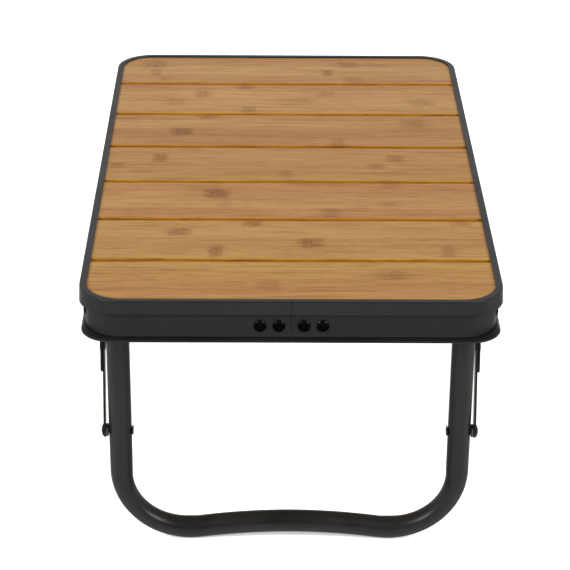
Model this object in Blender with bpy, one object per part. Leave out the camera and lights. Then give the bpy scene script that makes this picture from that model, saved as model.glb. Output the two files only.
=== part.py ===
"""Folding tray table.

Seven bamboo slats lie on a board in a two-piece aluminium frame. The tray stands on two
U-shaped tube legs that fold flat under it, and a telescoping stay on each side of each leg
holds the leg open. Metres, +Z up. The open table stands on Z = 0, centred on the Z axis,
with its long side along Y. Front is -Y and left is -X.
"""

import math

import bmesh
import bpy
from mathutils import Matrix, Vector

# Whole table
WIDTH = 0.340
LENGTH = 0.560
HEIGHT = 0.240
GAP = 0.0003  # between pieces that touch

# Frame extrusion. Insets are measured from its outer face, drops from the top of its lip.
CORNER_RADIUS = 0.0345
CORNER_STEPS = 8
FRAME_DEPTH = 0.0372
LIP_WIDTH = 0.0058
LIP_THICKNESS = 0.0012
LIP_ROUND = 0.0011
WALL = 0.0015
BAND_DEPTH = 0.0124
SHELF_THICKNESS = 0.0013
SHELF_REACH = 0.0140
WEB_INSET = 0.0040
BAND_ROUND = 0.0006
FLANGE_INSET = 0.0010
FLANGE_EDGE = 0.0011  # height of the flange's upright outer edge
FLANGE_SLOPE = (0.0020, 0.0026)  # width and height of the slope above that edge
BAND_FULLNESS = 0.0065  # how much tighter the bend is at the band's lower edge than at the lip
FLANGE_FULLNESS = 0.0085  # the same for the flange's outer edge

# Splice that joins the two halves of the frame at the middle of each short end
SPLICE_LENGTH = 0.070
SPLICE_HEIGHT = 0.018
SPLICE_THICKNESS = 0.0020
SPLICE_DROP = 0.0232
SCREW_PLACES = (0.010, 0.025)  # distances from the joint, on both sides of it
SCREW_LENGTH = 0.0058

# Slats and the board under them
SLAT_COUNT = 7
SLAT_PITCH = 0.0804
SLAT_SPACING = 0.0033
SLAT_CHAMFER = 0.0017
PANEL_CLEARANCE = 0.0005  # to the inner wall of the extrusion
BOARD_THICKNESS = 0.0027

# Legs: one bent round tube each
TUBE_RADIUS = 0.0095
TUBE_BORE = 0.0083
TUBE_SIDES = 16
STILE_X = 0.1405
BEND_RADIUS = 0.0570
BEND_STEPS = 6
BEND_FLATTENING = 0.19  # of the tube's inner half, at the middle of a bend
ARCH_RISE = 0.0060
ARCH_STEPS = 3
LEG_INSET = 0.0330  # pivot to the end of the table
PIVOT_DROP = 0.0227
TUBE_ABOVE_PIVOT = 0.0050

# Stays: flat bars beside each stile. The upper one hangs from the frame and is slotted.
STAY_DROP = 0.1360  # pivot of the lower bar on the stile
ANCHOR_INSET = 0.0620  # pivot of the upper bar, from the end of the table
BAR_THICKNESS = 0.0016
BAR_RADIUS = 0.0060
GUIDE_REACH = 0.0720  # lower bar's pivot to its guide rivet
UPPER_BAR_LENGTH = 0.0610  # between the centres of its round ends
SPACER_THICKNESS = 0.0019
SPACER_RADIUS = 0.0055

# Hinge plates: inside the frame's long sides, carrying the leg pivot and the stay's anchor
PLATE_THICKNESS = 0.0018
PLATE_HEIGHT = 0.0180
PLATE_AHEAD = 0.0060  # from the leg pivot towards the end of the table
PLATE_BEHIND = 0.0400
PLATE_JOGGLE = 0.0010  # the front part stands off the frame's curved corner
JOGGLE_START = 0.0040
JOGGLE_LENGTH = 0.0020
PLATE_RIVET_BEHIND = 0.0160
PLATE_RIVET_SPREAD = 0.0053

# Fasteners: shank radii, then (radius, height) of the domed heads and of the flat inner heads
PIN_SIDES = 12
HOLE_CLEARANCE = 0.0003
SCREW_SHANK = 0.0019
SCREW_HEAD = (0.0050, 0.0026)
PLATE_RIVET_SHANK = 0.0019
PIVOT_SHANK = 0.0030
PIVOT_HEAD = (0.0055, 0.0010)
PIVOT_TAIL = (0.0045, 0.0017)
PIVOT_SHOULDER = 0.0065
STUD_SHANK = 0.0024
STUD_HEAD = (0.0045, 0.0010)
STUD_SHOULDER = 0.0050
STAY_SHANK = 0.0025
STAY_HEAD = (0.0052, 0.0018)
STAY_TAIL = (0.0041, 0.0011)
GUIDE_SHANK = 0.0023
GUIDE_HEAD = (0.0040, 0.0004)
GUIDE_TAIL = (0.0036, 0.0004)
ANCHOR_SHANK = 0.0024
ANCHOR_HEAD = (0.0042, 0.0012)

# Worked out from the above
FLANGE_DEPTH = FLANGE_EDGE + FLANGE_SLOPE[1]
SHELF_DROP = BAND_DEPTH - SHELF_THICKNESS
BOARD_TOP_DROP = SHELF_DROP - GAP - BOARD_THICKNESS
SLAT_BOTTOM_DROP = BOARD_TOP_DROP - GAP
SLAT_TOP_DROP = LIP_THICKNESS + GAP
PANEL_INSET = WALL + PANEL_CLEARANCE
PIVOT_Z = HEIGHT - PIVOT_DROP
PIVOT_Y = LENGTH / 2 - LEG_INSET
ANCHOR_Y = LENGTH / 2 - ANCHOR_INSET
STAY_Z = HEIGHT - STAY_DROP
STAY_ANGLE = math.atan2(ANCHOR_INSET - LEG_INSET, STAY_DROP - PIVOT_DROP)
STAY_OPEN = math.hypot(ANCHOR_INSET - LEG_INSET, STAY_DROP - PIVOT_DROP)
STAY_FOLDED = (STAY_DROP - PIVOT_DROP) - (ANCHOR_INSET - LEG_INSET)

# Distances from the table's centre plane, going outwards from a stile
STILE_INNER = STILE_X - TUBE_RADIUS - GAP
SPACER_X = STILE_X + TUBE_RADIUS + GAP
LOWER_BAR_X = SPACER_X + SPACER_THICKNESS + GAP
UPPER_BAR_X = LOWER_BAR_X + BAR_THICKNESS + GAP
BAR_OUTER_X = UPPER_BAR_X + BAR_THICKNESS + GAP
WEB_OUTER_X = WIDTH / 2 - WEB_INSET + GAP
PLATE_X = WIDTH / 2 - WEB_INSET - WALL - GAP - PLATE_THICKNESS
STUD_END_X = BAR_OUTER_X + ANCHOR_HEAD[1] + GAP

ENDS = {"front": -1, "rear": 1}
SIDES = {"left": -1, "right": 1}

# Base colour, metallic and roughness of each finish
FINISHES = {
    "frame_coat": ((0.031, 0.032, 0.034, 1.0), 0.3, 0.48),
    "leg_coat": ((0.030, 0.030, 0.031, 1.0), 0.3, 0.42),
    "black_steel": ((0.012, 0.012, 0.012, 1.0), 0.8, 0.35),
    "black_plastic": ((0.015, 0.015, 0.015, 1.0), 0.0, 0.55),
    "bamboo": ((0.46, 0.25, 0.10, 1.0), 0.0, 0.45),
    "board": ((0.30, 0.16, 0.06, 1.0), 0.0, 0.70),
}


def make_material(name, finish):
    """Principled material of one of the finishes."""
    colour, metallic, roughness = FINISHES[finish]
    material = bpy.data.materials.new(name)
    material.use_nodes = True
    shader = material.node_tree.nodes["Principled BSDF"]
    shader.inputs["Base Color"].default_value = colour
    shader.inputs["Metallic"].default_value = metallic
    shader.inputs["Roughness"].default_value = roughness
    return material


def add_object(name, bm, finish, location=(0, 0, 0), rotation=(0, 0, 0)):
    """Object from a finished bmesh, with its faces outwards and its round faces smooth."""
    bmesh.ops.recalc_face_normals(bm, faces=bm.faces)
    if bm.calc_volume(signed=True) < 0:
        bmesh.ops.reverse_faces(bm, faces=bm.faces)
    mesh = bpy.data.meshes.new(name)
    bm.to_mesh(mesh)
    bm.free()
    mesh.shade_smooth()
    mesh.set_sharp_from_angle(angle=math.radians(35))
    mesh.materials.append(make_material(name, finish))
    thing = bpy.data.objects.new(name, mesh)
    thing.location = location
    thing.rotation_euler = rotation
    bpy.context.collection.objects.link(thing)
    return thing


def cut_holes(thing, drills):
    """Subtract the cylinders in a bmesh from an object, in the object's own frame."""
    mesh = bpy.data.meshes.new(thing.name + "_drills")
    bmesh.ops.recalc_face_normals(drills, faces=drills.faces)
    drills.to_mesh(mesh)
    drills.free()
    cutter = bpy.data.objects.new(thing.name + "_drills", mesh)
    cutter.parent = thing
    cutter.hide_render = True
    cutter.display_type = "WIRE"
    bpy.context.collection.objects.link(cutter)
    cut = thing.modifiers.new("holes", "BOOLEAN")
    cut.operation = "DIFFERENCE"
    cut.solver = "EXACT"
    cut.object = cutter


def arc(centre, radius, start, end, steps):
    """Points of an arc in a plane, both ends included; angles in degrees."""
    points = []
    for step in range(steps + 1):
        angle = math.radians(start + (end - start) * step / steps)
        points.append((centre[0] + radius * math.cos(angle), centre[1] + radius * math.sin(angle)))
    return points


def bridge(bm, first, second):
    """Faces between two rings of vertices. Either ring may be a single pole."""
    count = max(len(first), len(second))
    for here in range(count):
        ahead = (here + 1) % count
        corners = [
            first[here % len(first)],
            first[ahead % len(first)],
            second[ahead % len(second)],
            second[here % len(second)],
        ]
        bm.faces.new(list(dict.fromkeys(corners)))


def skin(bm, rings, closed=False):
    """Skin over a row of rings: closed into a loop, or with a cap on each end."""
    for first, second in zip(rings, rings[1:]):
        bridge(bm, first, second)
    if closed:
        bridge(bm, rings[-1], rings[0])
        return
    for ring in (rings[0], rings[-1]):
        if len(ring) > 1:
            bm.faces.new(ring)


def prism(outline, low, high):
    """Solid between two heights over an (x, y) outline."""
    bm = bmesh.new()
    rings = [[bm.verts.new((x, y, z)) for x, y in outline] for z in (low, high)]
    skin(bm, rings)
    return bm


def add_turned(bm, profile, places):
    """Turned solids. The profile lists (distance along the axis, radius), radius 0 being a pole,
    and each place is a centre and the direction in which the axis points."""
    for centre, direction in places:
        turn = Vector((1, 0, 0)).rotation_difference(Vector(direction)).to_matrix().to_4x4()
        place = Matrix.Translation(centre) @ turn
        rings = []
        for along, radius in profile:
            ring = arc((0, 0), radius, 0, 360, PIN_SIDES)[:-1] if radius > 0 else [(0, 0)]
            rings.append([bm.verts.new(place @ Vector((along, y, z))) for y, z in ring])
        skin(bm, rings, closed=profile[0][1] > 0)


def turned(profile, places=(((0, 0, 0), (1, 0, 0)),)):
    """Turned solids in a bmesh of their own."""
    bm = bmesh.new()
    add_turned(bm, profile, places)
    return bm


def dome(base, head):
    """Profile of a domed head, from its crown to the edge of its flat underside."""
    radius, height = head
    crown = [(base + height, 0.0), (base + 0.78 * height, 0.62 * radius)]
    return crown + [(base + 0.2 * height, radius), (base, radius)]


def pin_profile(head_at, head, shank, tail_at, tail, shoulder=()):
    """Profile of a pin along +X: a domed head outside, a shank that may have a thicker shoulder
    given as (distance, radius) corners, and a flat head inside."""
    radius, height = tail
    end = tail_at - height
    middle = [(head_at, shank)] + list(shoulder) + [(tail_at, shank)]
    return dome(head_at, head) + middle + [(tail_at, radius), (end, radius), (end, 0.0)]


def ring_profile(low, high, inner, outer):
    """Profile of a plain ring along +X."""
    return [(low, inner), (low, outer), (high, outer), (high, inner)]


def drill_profile(radius, length):
    """Profile of a plain cylinder from the origin along +X."""
    return [(0.0, 0.0), (0.0, radius), (length, radius), (length, 0.0)]


def circle(centre, radius):
    """Round hole outline in a flat plate."""
    return arc(centre, radius, 0, 360, PIN_SIDES)[:-1]


def rounded_bar(low, high, radius):
    """Outline of a bar or slot along the second axis, with full round ends centred on low and high."""
    return arc((0, low), radius, 180, 360, 6) + arc((0, high), radius, 0, 180, 6)


def flat_plate(outline, holes, near, far):
    """Plate in the YZ plane between two distances along X, with holes through it."""
    bm = bmesh.new()
    for loop in [outline] + holes:
        verts = [bm.verts.new((near, y, z)) for y, z in loop]
        for start, end in zip(verts, verts[1:] + verts[:1]):
            bm.edges.new((start, end))
    bmesh.ops.triangle_fill(bm, use_beauty=True, edges=bm.edges, normal=(1, 0, 0))
    grown = bmesh.ops.extrude_face_region(bm, geom=bm.faces[:])
    moved = [item for item in grown["geom"] if isinstance(item, bmesh.types.BMVert)]
    bmesh.ops.translate(bm, verts=moved, vec=(far - near, 0, 0))
    return bm


def frame_section():
    """Outline of the extrusion as (inset, drop): lip, groove for the panel, shelf, web, flange."""
    inner_face = WEB_INSET + WALL
    flange_top = FRAME_DEPTH - FLANGE_DEPTH
    eased = FLANGE_EDGE / 2
    lip_edge = [(LIP_ROUND - x, LIP_ROUND - y) for x, y in arc((0, 0), LIP_ROUND, 0, 90, 2)]
    return lip_edge + [
        (LIP_WIDTH, 0.0),
        (LIP_WIDTH, LIP_THICKNESS),
        (WALL, LIP_THICKNESS),
        (WALL, SHELF_DROP),
        (SHELF_REACH, SHELF_DROP),
        (SHELF_REACH, BAND_DEPTH),
        (inner_face, BAND_DEPTH),
        (inner_face, FRAME_DEPTH),
        (FLANGE_INSET + eased, FRAME_DEPTH),
        (FLANGE_INSET, FRAME_DEPTH - eased),
        (FLANGE_INSET, FRAME_DEPTH - FLANGE_EDGE),
        (FLANGE_INSET + FLANGE_SLOPE[0], flange_top),
        (WEB_INSET, flange_top),
        (WEB_INSET, BAND_DEPTH),
        (BAND_ROUND, BAND_DEPTH),
        (0.0, BAND_DEPTH - BAND_ROUND),
    ]


def bend_radius(inset, drop):
    """Radius of the bend at the tray's corners. Band and flange stand a little fuller than the web."""
    radius = CORNER_RADIUS - inset
    if inset >= WEB_INSET:
        return radius
    if drop > FRAME_DEPTH - FLANGE_DEPTH - GAP:
        return radius - FLANGE_FULLNESS * (WEB_INSET - inset) / (WEB_INSET - FLANGE_INSET)
    if inset < WALL:
        return radius - BAND_FULLNESS * (1 - inset / WALL) * max(0.0, drop - LIP_ROUND) / BAND_DEPTH
    return radius


def frame_stations():
    """Headings in degrees along the right half from the front joint to the rear one, with the end
    of the table that each belongs to and whether it lies at the joint."""
    turn = 90 / CORNER_STEPS
    front_corner = [(-90 + turn * step, -1, False) for step in range(CORNER_STEPS + 1)]
    rear_corner = [(turn * step, 1, False) for step in range(CORNER_STEPS + 1)]
    return [(-90, -1, True)] + front_corner + rear_corner + [(90, 1, True)]


def build_frame_half(name, side):
    """One U-shaped half of the frame, drilled for its splice screws, rivets and pivots."""
    bm = bmesh.new()
    rings = []
    for heading, end, at_joint in frame_stations():
        out = (math.cos(math.radians(heading)), math.sin(math.radians(heading)))
        ring = []
        for inset, drop in frame_section():
            radius = bend_radius(inset, drop)
            x = WIDTH / 2 - inset - radius + radius * out[0]
            y = end * (LENGTH / 2 - inset - radius) + radius * out[1]
            x = GAP / 2 if at_joint else x
            ring.append(bm.verts.new((side * x, y, HEIGHT - drop)))
        rings.append(ring)
    skin(bm, rings)
    half = add_object(name, bm, "frame_coat")

    drills = bmesh.new()
    reach = WEB_INSET + 2 * WALL
    for end in ENDS.values():
        screws = [((side * x, end * LENGTH / 2, HEIGHT - SPLICE_DROP), (0, -end, 0)) for x in SCREW_PLACES]
        add_turned(drills, drill_profile(SCREW_SHANK + HOLE_CLEARANCE, reach), screws)
        for radius, y, z in side_holes():
            place = ((side * WIDTH / 2, end * y, z), (-side, 0, 0))
            add_turned(drills, drill_profile(radius + HOLE_CLEARANCE, reach), [place])
    cut_holes(half, drills)


def side_holes():
    """Shank radius, distance from the centre and height of everything through one hinge plate."""
    rivet_y = PIVOT_Y - PLATE_RIVET_BEHIND
    return [
        (PIVOT_SHANK, PIVOT_Y, PIVOT_Z),
        (STUD_SHANK, ANCHOR_Y, PIVOT_Z),
        (PLATE_RIVET_SHANK, rivet_y, PIVOT_Z - PLATE_RIVET_SPREAD),
        (PLATE_RIVET_SHANK, rivet_y, PIVOT_Z + PLATE_RIVET_SPREAD),
    ]


def build_splice(end_name, end):
    """Plate behind the web that joins the two halves, and its four screws."""
    half = SPLICE_HEIGHT / 2
    corners = [(-1, -1), (1, -1), (1, 1), (-1, 1)]
    outline = [(x * SPLICE_LENGTH / 2, z * half) for x, z in corners]
    places = [sign * x for x in SCREW_PLACES for sign in (-1, 1)]
    holes = [circle((x, 0), SCREW_SHANK + HOLE_CLEARANCE) for x in places]
    bm = flat_plate(outline, holes, 0, SPLICE_THICKNESS)
    y = end * (LENGTH / 2 - WEB_INSET - WALL - GAP)
    z = HEIGHT - SPLICE_DROP
    inwards = (0, 0, math.radians(-90 * end))
    add_object(f"{end_name}_splice_plate", bm, "black_steel", (0, y, z), inwards)

    outwards = (0, 0, math.radians(90 * end))
    screw_y = end * (LENGTH / 2 - WEB_INSET + GAP)
    shank = [(0.0, SCREW_SHANK), (-SCREW_LENGTH, SCREW_SHANK), (-SCREW_LENGTH, 0.0)]
    for index, x in enumerate(sorted(places)):
        name = f"{end_name}_splice_screw_{index + 1}"
        add_object(name, turned(dome(0, SCREW_HEAD) + shank), "black_steel", (x, screw_y, z), outwards)


def panel_outline(low, high, low_radius, high_radius):
    """Plan of a slat or board between two distances along Y, with its own radius at each end."""
    x = WIDTH / 2 - PANEL_INSET
    points = [(x, low), (x, high)]
    if low_radius > 0:
        points[:1] = arc((x - low_radius, low + low_radius), low_radius, -90, 0, CORNER_STEPS)
    if high_radius > 0:
        points[-1:] = arc((x - high_radius, high - high_radius), high_radius, 0, 90, CORNER_STEPS)
    mirrored = [(-px, py) for px, py in reversed(points)]
    return points + mirrored


def build_panel():
    """Seven slats across the tray, and the board that they lie on."""
    radius = CORNER_RADIUS - PANEL_INSET
    edge = LENGTH / 2 - PANEL_INSET
    top = HEIGHT - SLAT_TOP_DROP
    for index in range(SLAT_COUNT):
        middle = (index - (SLAT_COUNT - 1) / 2) * SLAT_PITCH
        low = middle - (SLAT_PITCH - SLAT_SPACING) / 2
        high = middle + (SLAT_PITCH - SLAT_SPACING) / 2
        first = index == 0
        last = index == SLAT_COUNT - 1
        low = -edge if first else low
        high = edge if last else high
        outline = panel_outline(low, high, radius if first else 0, radius if last else 0)
        bm = prism(outline, HEIGHT - SLAT_BOTTOM_DROP, top)
        chamfer_slat(bm, [] if first else [low], [] if last else [high], top)
        add_object(f"slat_{index + 1}", bm, "bamboo")
    outline = panel_outline(-edge, edge, radius, radius)
    low = HEIGHT - SHELF_DROP + GAP
    add_object("backing_board", prism(outline, low, low + BOARD_THICKNESS), "board")


def chamfer_slat(bm, lows, highs, top):
    """Chamfer a slat's upper edges along the grooves."""
    tiny = GAP / 10
    chosen = []
    for edge in bm.edges:
        ends = [vert.co for vert in edge.verts]
        on_top = all(abs(end.z - top) < tiny for end in ends)
        on_groove = any(all(abs(end.y - y) < tiny for end in ends) for y in lows + highs)
        if on_top and on_groove:
            chosen.append(edge)
    bmesh.ops.bevel(bm, geom=chosen, offset=SLAT_CHAMFER, segments=1, profile=0.5, affect="EDGES")


def leg_line():
    """Centre line of a leg as (x, z, normal x, normal z), from the right end to the left end.
    Heights are above the floor. Each bend runs a little past the bottom into a low arch."""
    reach = STILE_X - BEND_RADIUS
    over = 2 * math.degrees(math.atan(ARCH_RISE / reach))
    arch_radius = reach / math.sin(math.radians(over)) - BEND_RADIUS
    bend_centre = (reach, TUBE_RADIUS + BEND_RADIUS)
    arch_centre = (0.0, TUBE_RADIUS + ARCH_RISE - arch_radius)
    right = [(STILE_X, PIVOT_Z + TUBE_ABOVE_PIVOT, 1.0, 0.0)]
    places = arc(bend_centre, BEND_RADIUS, 0, -90, BEND_STEPS)
    places += arc(bend_centre, BEND_RADIUS, -90, -90 - over, 1)[1:]
    normals = arc((0, 0), 1, 0, -90, BEND_STEPS) + arc((0, 0), 1, -90, -90 - over, 1)[1:]
    right += [place + normal for place, normal in zip(places, normals)]
    places = arc(arch_centre, arch_radius, 90 - over, 90, ARCH_STEPS)[1:]
    normals = arc((0, 0), -1, 90 - over, 90, ARCH_STEPS)[1:]
    right += [place + normal for place, normal in zip(places, normals)]
    left = [(-x, z, -out_x, out_z) for x, z, out_x, out_z in reversed(right[:-1])]
    return right + left


def build_leg(end_name, end):
    """Bent tube, made about its pivot axis and drilled for the pivot pins and the stays."""
    bm = bmesh.new()
    walls = []
    for radius in (TUBE_RADIUS, TUBE_BORE):
        rings = []
        for x, z, out_x, out_z in leg_line():
            ring = arc((0, 0), radius, 0, 360, TUBE_SIDES)[:-1]
            inner = 1 - 2 * BEND_FLATTENING * abs(out_x * out_z)
            ring = [(out * (inner if out < 0 else 1), across) for out, across in ring]
            points = [(x + out * out_x, across, z - PIVOT_Z + out * out_z) for out, across in ring]
            rings.append([bm.verts.new(point) for point in points])
        walls.append(rings)
    for rings in walls:
        for first, second in zip(rings, rings[1:]):
            bridge(bm, first, second)
    bridge(bm, walls[0][0], walls[1][0])
    bridge(bm, walls[0][-1], walls[1][-1])
    location = (0, end * PIVOT_Y, PIVOT_Z)
    leg = add_object(f"{end_name}_leg", bm, "leg_coat", location)

    drills = bmesh.new()
    across = STILE_X + 2 * TUBE_RADIUS
    for radius, z in ((PIVOT_SHANK, 0.0), (STAY_SHANK, STAY_Z - PIVOT_Z)):
        profile = drill_profile(radius + HOLE_CLEARANCE, 2 * across)
        add_turned(drills, profile, [((-across, 0, z), (1, 0, 0))])
    cut_holes(leg, drills)


def hinge_plate_mesh(hand):
    """Plate with its front part joggled inwards. hand is the direction along Y to the table's middle."""
    half = PLATE_HEIGHT / 2
    outline = [(-PLATE_AHEAD, -half), (PLATE_BEHIND, -half), (PLATE_BEHIND, half), (-PLATE_AHEAD, half)]
    holes = [circle((PIVOT_Y - y, z - PIVOT_Z), radius + HOLE_CLEARANCE) for radius, y, z in side_holes()]
    bm = flat_plate(outline, holes, PLATE_X, PLATE_X + PLATE_THICKNESS)
    for y in (JOGGLE_START, JOGGLE_START + JOGGLE_LENGTH):
        cut = bm.verts[:] + bm.edges[:] + bm.faces[:]
        bmesh.ops.bisect_plane(bm, geom=cut, plane_co=(0, y, 0), plane_no=(0, 1, 0))
    for vert in bm.verts:
        if vert.co.y < JOGGLE_START + JOGGLE_LENGTH / 2:
            vert.co.x -= PLATE_JOGGLE
        vert.co.y *= hand
    return bm


def build_hinge(end_name, end, side_name, side):
    """Hinge plate, leg pivot pin and stay stud at one corner of the table."""
    corner = f"{end_name}_{side_name}"
    facing = (0, 0, 0 if side > 0 else math.pi)
    pivot_at = (0, end * PIVOT_Y, PIVOT_Z)
    add_object(f"{corner}_hinge_plate", hinge_plate_mesh(-end * side), "black_steel", pivot_at, facing)

    shoulder_x = PLATE_X - PLATE_JOGGLE - GAP
    shoulder = [
        (shoulder_x, PIVOT_SHANK),
        (shoulder_x, PIVOT_SHOULDER),
        (SPACER_X, PIVOT_SHOULDER),
        (SPACER_X, PIVOT_SHANK),
    ]
    profile = pin_profile(WEB_OUTER_X, PIVOT_HEAD, PIVOT_SHANK, STILE_INNER, PIVOT_TAIL, shoulder)
    add_object(f"{corner}_leg_pivot_pin", turned(profile), "black_steel", pivot_at, facing)

    tail_at = PLATE_X - GAP
    tail = (STUD_SHOULDER, tail_at - STUD_END_X)
    profile = pin_profile(WEB_OUTER_X, STUD_HEAD, STUD_SHANK, tail_at, tail)
    stud_at = (0, end * ANCHOR_Y, PIVOT_Z)
    add_object(f"{corner}_stay_stud", turned(profile), "black_steel", stud_at, facing)


def build_stay(end_name, end, side_name, side):
    """Lower bar on the stile, and the slotted upper bar that slides along it, with their rivets."""
    corner = f"{end_name}_{side_name}"
    tilt = (side * end * STAY_ANGLE, 0, 0 if side > 0 else math.pi)
    lower_at = (0, end * PIVOT_Y, STAY_Z)
    upper_at = (0, end * ANCHOR_Y, PIVOT_Z)

    hole = STAY_SHANK + HOLE_CLEARANCE
    holes = [circle((0, 0), hole), circle((0, GUIDE_REACH), GUIDE_SHANK + HOLE_CLEARANCE)]
    outline = rounded_bar(0, GUIDE_REACH, BAR_RADIUS)
    bm = flat_plate(outline, holes, LOWER_BAR_X, LOWER_BAR_X + BAR_THICKNESS)
    add_object(f"{corner}_lower_stay", bm, "black_steel", lower_at, tilt)

    slot_width = GUIDE_SHANK + 1.5 * HOLE_CLEARANCE
    slot = rounded_bar(GUIDE_REACH - STAY_OPEN, GUIDE_REACH - STAY_FOLDED, slot_width)
    holes = [circle((0, 0), ANCHOR_SHANK + HOLE_CLEARANCE), slot]
    outline = rounded_bar(-UPPER_BAR_LENGTH, 0, BAR_RADIUS)
    bm = flat_plate(outline, holes, UPPER_BAR_X, UPPER_BAR_X + BAR_THICKNESS)
    add_object(f"{corner}_upper_stay", bm, "black_steel", upper_at, tilt)

    profile = pin_profile(UPPER_BAR_X, STAY_HEAD, STAY_SHANK, STILE_INNER, STAY_TAIL)
    add_object(f"{corner}_stay_pivot_rivet", turned(profile), "black_steel", lower_at, tilt)

    profile = ring_profile(SPACER_X, SPACER_X + SPACER_THICKNESS, hole, SPACER_RADIUS)
    add_object(f"{corner}_stay_spacer", turned(profile), "black_plastic", lower_at, tilt)

    profile = pin_profile(BAR_OUTER_X, GUIDE_HEAD, GUIDE_SHANK, LOWER_BAR_X - GAP, GUIDE_TAIL)
    guide = turned(profile, [((0, 0, GUIDE_REACH), (1, 0, 0))])
    add_object(f"{corner}_guide_rivet", guide, "black_steel", lower_at, tilt)

    profile = pin_profile(BAR_OUTER_X, ANCHOR_HEAD, ANCHOR_SHANK, UPPER_BAR_X - GAP, ANCHOR_HEAD)
    add_object(f"{corner}_anchor_rivet", turned(profile), "black_steel", upper_at, tilt)


def main():
    for old in list(bpy.data.objects):
        bpy.data.objects.remove(old, do_unlink=True)
    for side_name, side in SIDES.items():
        build_frame_half(f"frame_half_{side_name}", side)
    build_panel()
    for end_name, end in ENDS.items():
        build_splice(end_name, end)
        build_leg(end_name, end)
        for side_name, side in SIDES.items():
            build_hinge(end_name, end, side_name, side)
            build_stay(end_name, end, side_name, side)


main()
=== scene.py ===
"""Looks of the folding tray table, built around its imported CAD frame."""

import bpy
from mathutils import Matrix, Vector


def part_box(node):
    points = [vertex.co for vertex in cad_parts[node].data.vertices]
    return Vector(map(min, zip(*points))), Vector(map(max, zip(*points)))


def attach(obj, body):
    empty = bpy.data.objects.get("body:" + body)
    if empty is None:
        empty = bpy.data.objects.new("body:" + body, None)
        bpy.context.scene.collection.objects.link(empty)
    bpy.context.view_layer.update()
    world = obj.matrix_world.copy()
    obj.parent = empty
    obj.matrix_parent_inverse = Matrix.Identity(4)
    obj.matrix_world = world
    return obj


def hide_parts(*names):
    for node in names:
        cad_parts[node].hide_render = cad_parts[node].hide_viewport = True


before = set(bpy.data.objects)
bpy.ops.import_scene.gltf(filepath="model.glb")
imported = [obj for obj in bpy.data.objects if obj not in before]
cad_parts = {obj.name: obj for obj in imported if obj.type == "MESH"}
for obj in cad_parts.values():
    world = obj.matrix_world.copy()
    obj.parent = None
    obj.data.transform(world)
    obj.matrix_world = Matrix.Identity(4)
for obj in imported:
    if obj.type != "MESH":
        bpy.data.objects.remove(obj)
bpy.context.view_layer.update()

import math

import bmesh
import bpy
from mathutils import Matrix, Vector

# Sizes in metres, as in the CAD source. The table stands on Z = 0; front is -Y, left is -X.
WIDTH = 0.340
LENGTH = 0.560
HEIGHT = 0.240
GAP = 0.0003
CREASE = 32  # degrees from which an edge is shaded sharp

# Frame extrusion: insets from its outer face, drops from the top of its lip
CORNER_RADIUS = 0.0345
FRAME_DEPTH = 0.0372
LIP_WIDTH = 0.0058
LIP_THICKNESS = 0.0012
LIP_ROUND = 0.0011
WALL = 0.0015
BAND_DEPTH = 0.0124
SHELF_THICKNESS = 0.0013
SHELF_REACH = 0.0140
WEB_INSET = 0.0040
FLANGE_INSET = 0.0010
FLANGE_EDGE = 0.0011
FLANGE_SLOPE = (0.0020, 0.0026)
FLANGE_DEPTH = FLANGE_EDGE + FLANGE_SLOPE[1]
BAND_FULLNESS = 0.0065
FLANGE_FULLNESS = 0.0085
JOINT_BEVEL = (0.00016, 0.00045)
JOINT_GAP = 0.00001  # from the middle of the table to each half

# Slats
SLAT_COUNT = 7
CHAMFER = 0.0017
CHAMFER_EASE = 0.0003
PANEL_INSET = 0.0020

# Legs
TUBE_RADIUS = 0.0095
TUBE_BORE = 0.0083
STILE_X = 0.1405
BEND_RADIUS = 0.0570
BEND_FLATTENING = 0.19
ARCH_RISE = 0.0060
PIVOT_Y = 0.2470
PIVOT_Z = 0.2173
TUBE_ABOVE_PIVOT = 0.0050
TUBE_TOP = PIVOT_Z + TUBE_ABOVE_PIVOT
TUBE_RIM = 0.0003
PLUG_CROWN = 0.0006
PLUG_DEPTH = 0.0016

# Stays
ANCHOR_Y = 0.2180
STAY_Z = 0.1040
BAR_THICKNESS = 0.0016
BAR_EASE = 0.00025  # on the edges of all flat bars and plates
BAR_RADIUS = 0.0060
GUIDE_REACH = 0.0720
UPPER_BAR_LENGTH = 0.0610
STAY_ANGLE = math.atan2(PIVOT_Y - ANCHOR_Y, PIVOT_Z - STAY_Z)
STAY_OPEN = math.hypot(PIVOT_Y - ANCHOR_Y, PIVOT_Z - STAY_Z)
STAY_FOLDED = (PIVOT_Z - STAY_Z) - (PIVOT_Y - ANCHOR_Y)
SPACER_THICKNESS = 0.0019
SPACER_RADIUS = 0.0055

# Splices and the crosses in their screws
SPLICE_LENGTH = 0.070
SPLICE_HEIGHT = 0.018
SPLICE_THICKNESS = 0.0020
SPLICE_Z = HEIGHT - 0.0232
SPLICE_ROUND = 0.0015
SCREW_PLACES = (-0.025, -0.010, 0.010, 0.025)
SCREW_LENGTH = 0.0058
SCREW_POINT = 0.0004
SCREW_TURNS = (22, 61)  # degrees: the first screw's cross, and each next one's further turn
RECESS_ARM = 0.0028
RECESS_HALF = 0.0006  # half of an arm's width
RECESS_TOP = (0.0020, 1.15)  # height of the recess's upper end over the head's base, and its size
RECESS_FLOOR = (0.35, 0.55)  # height of its floor as a share of the head's, and its size

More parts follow.
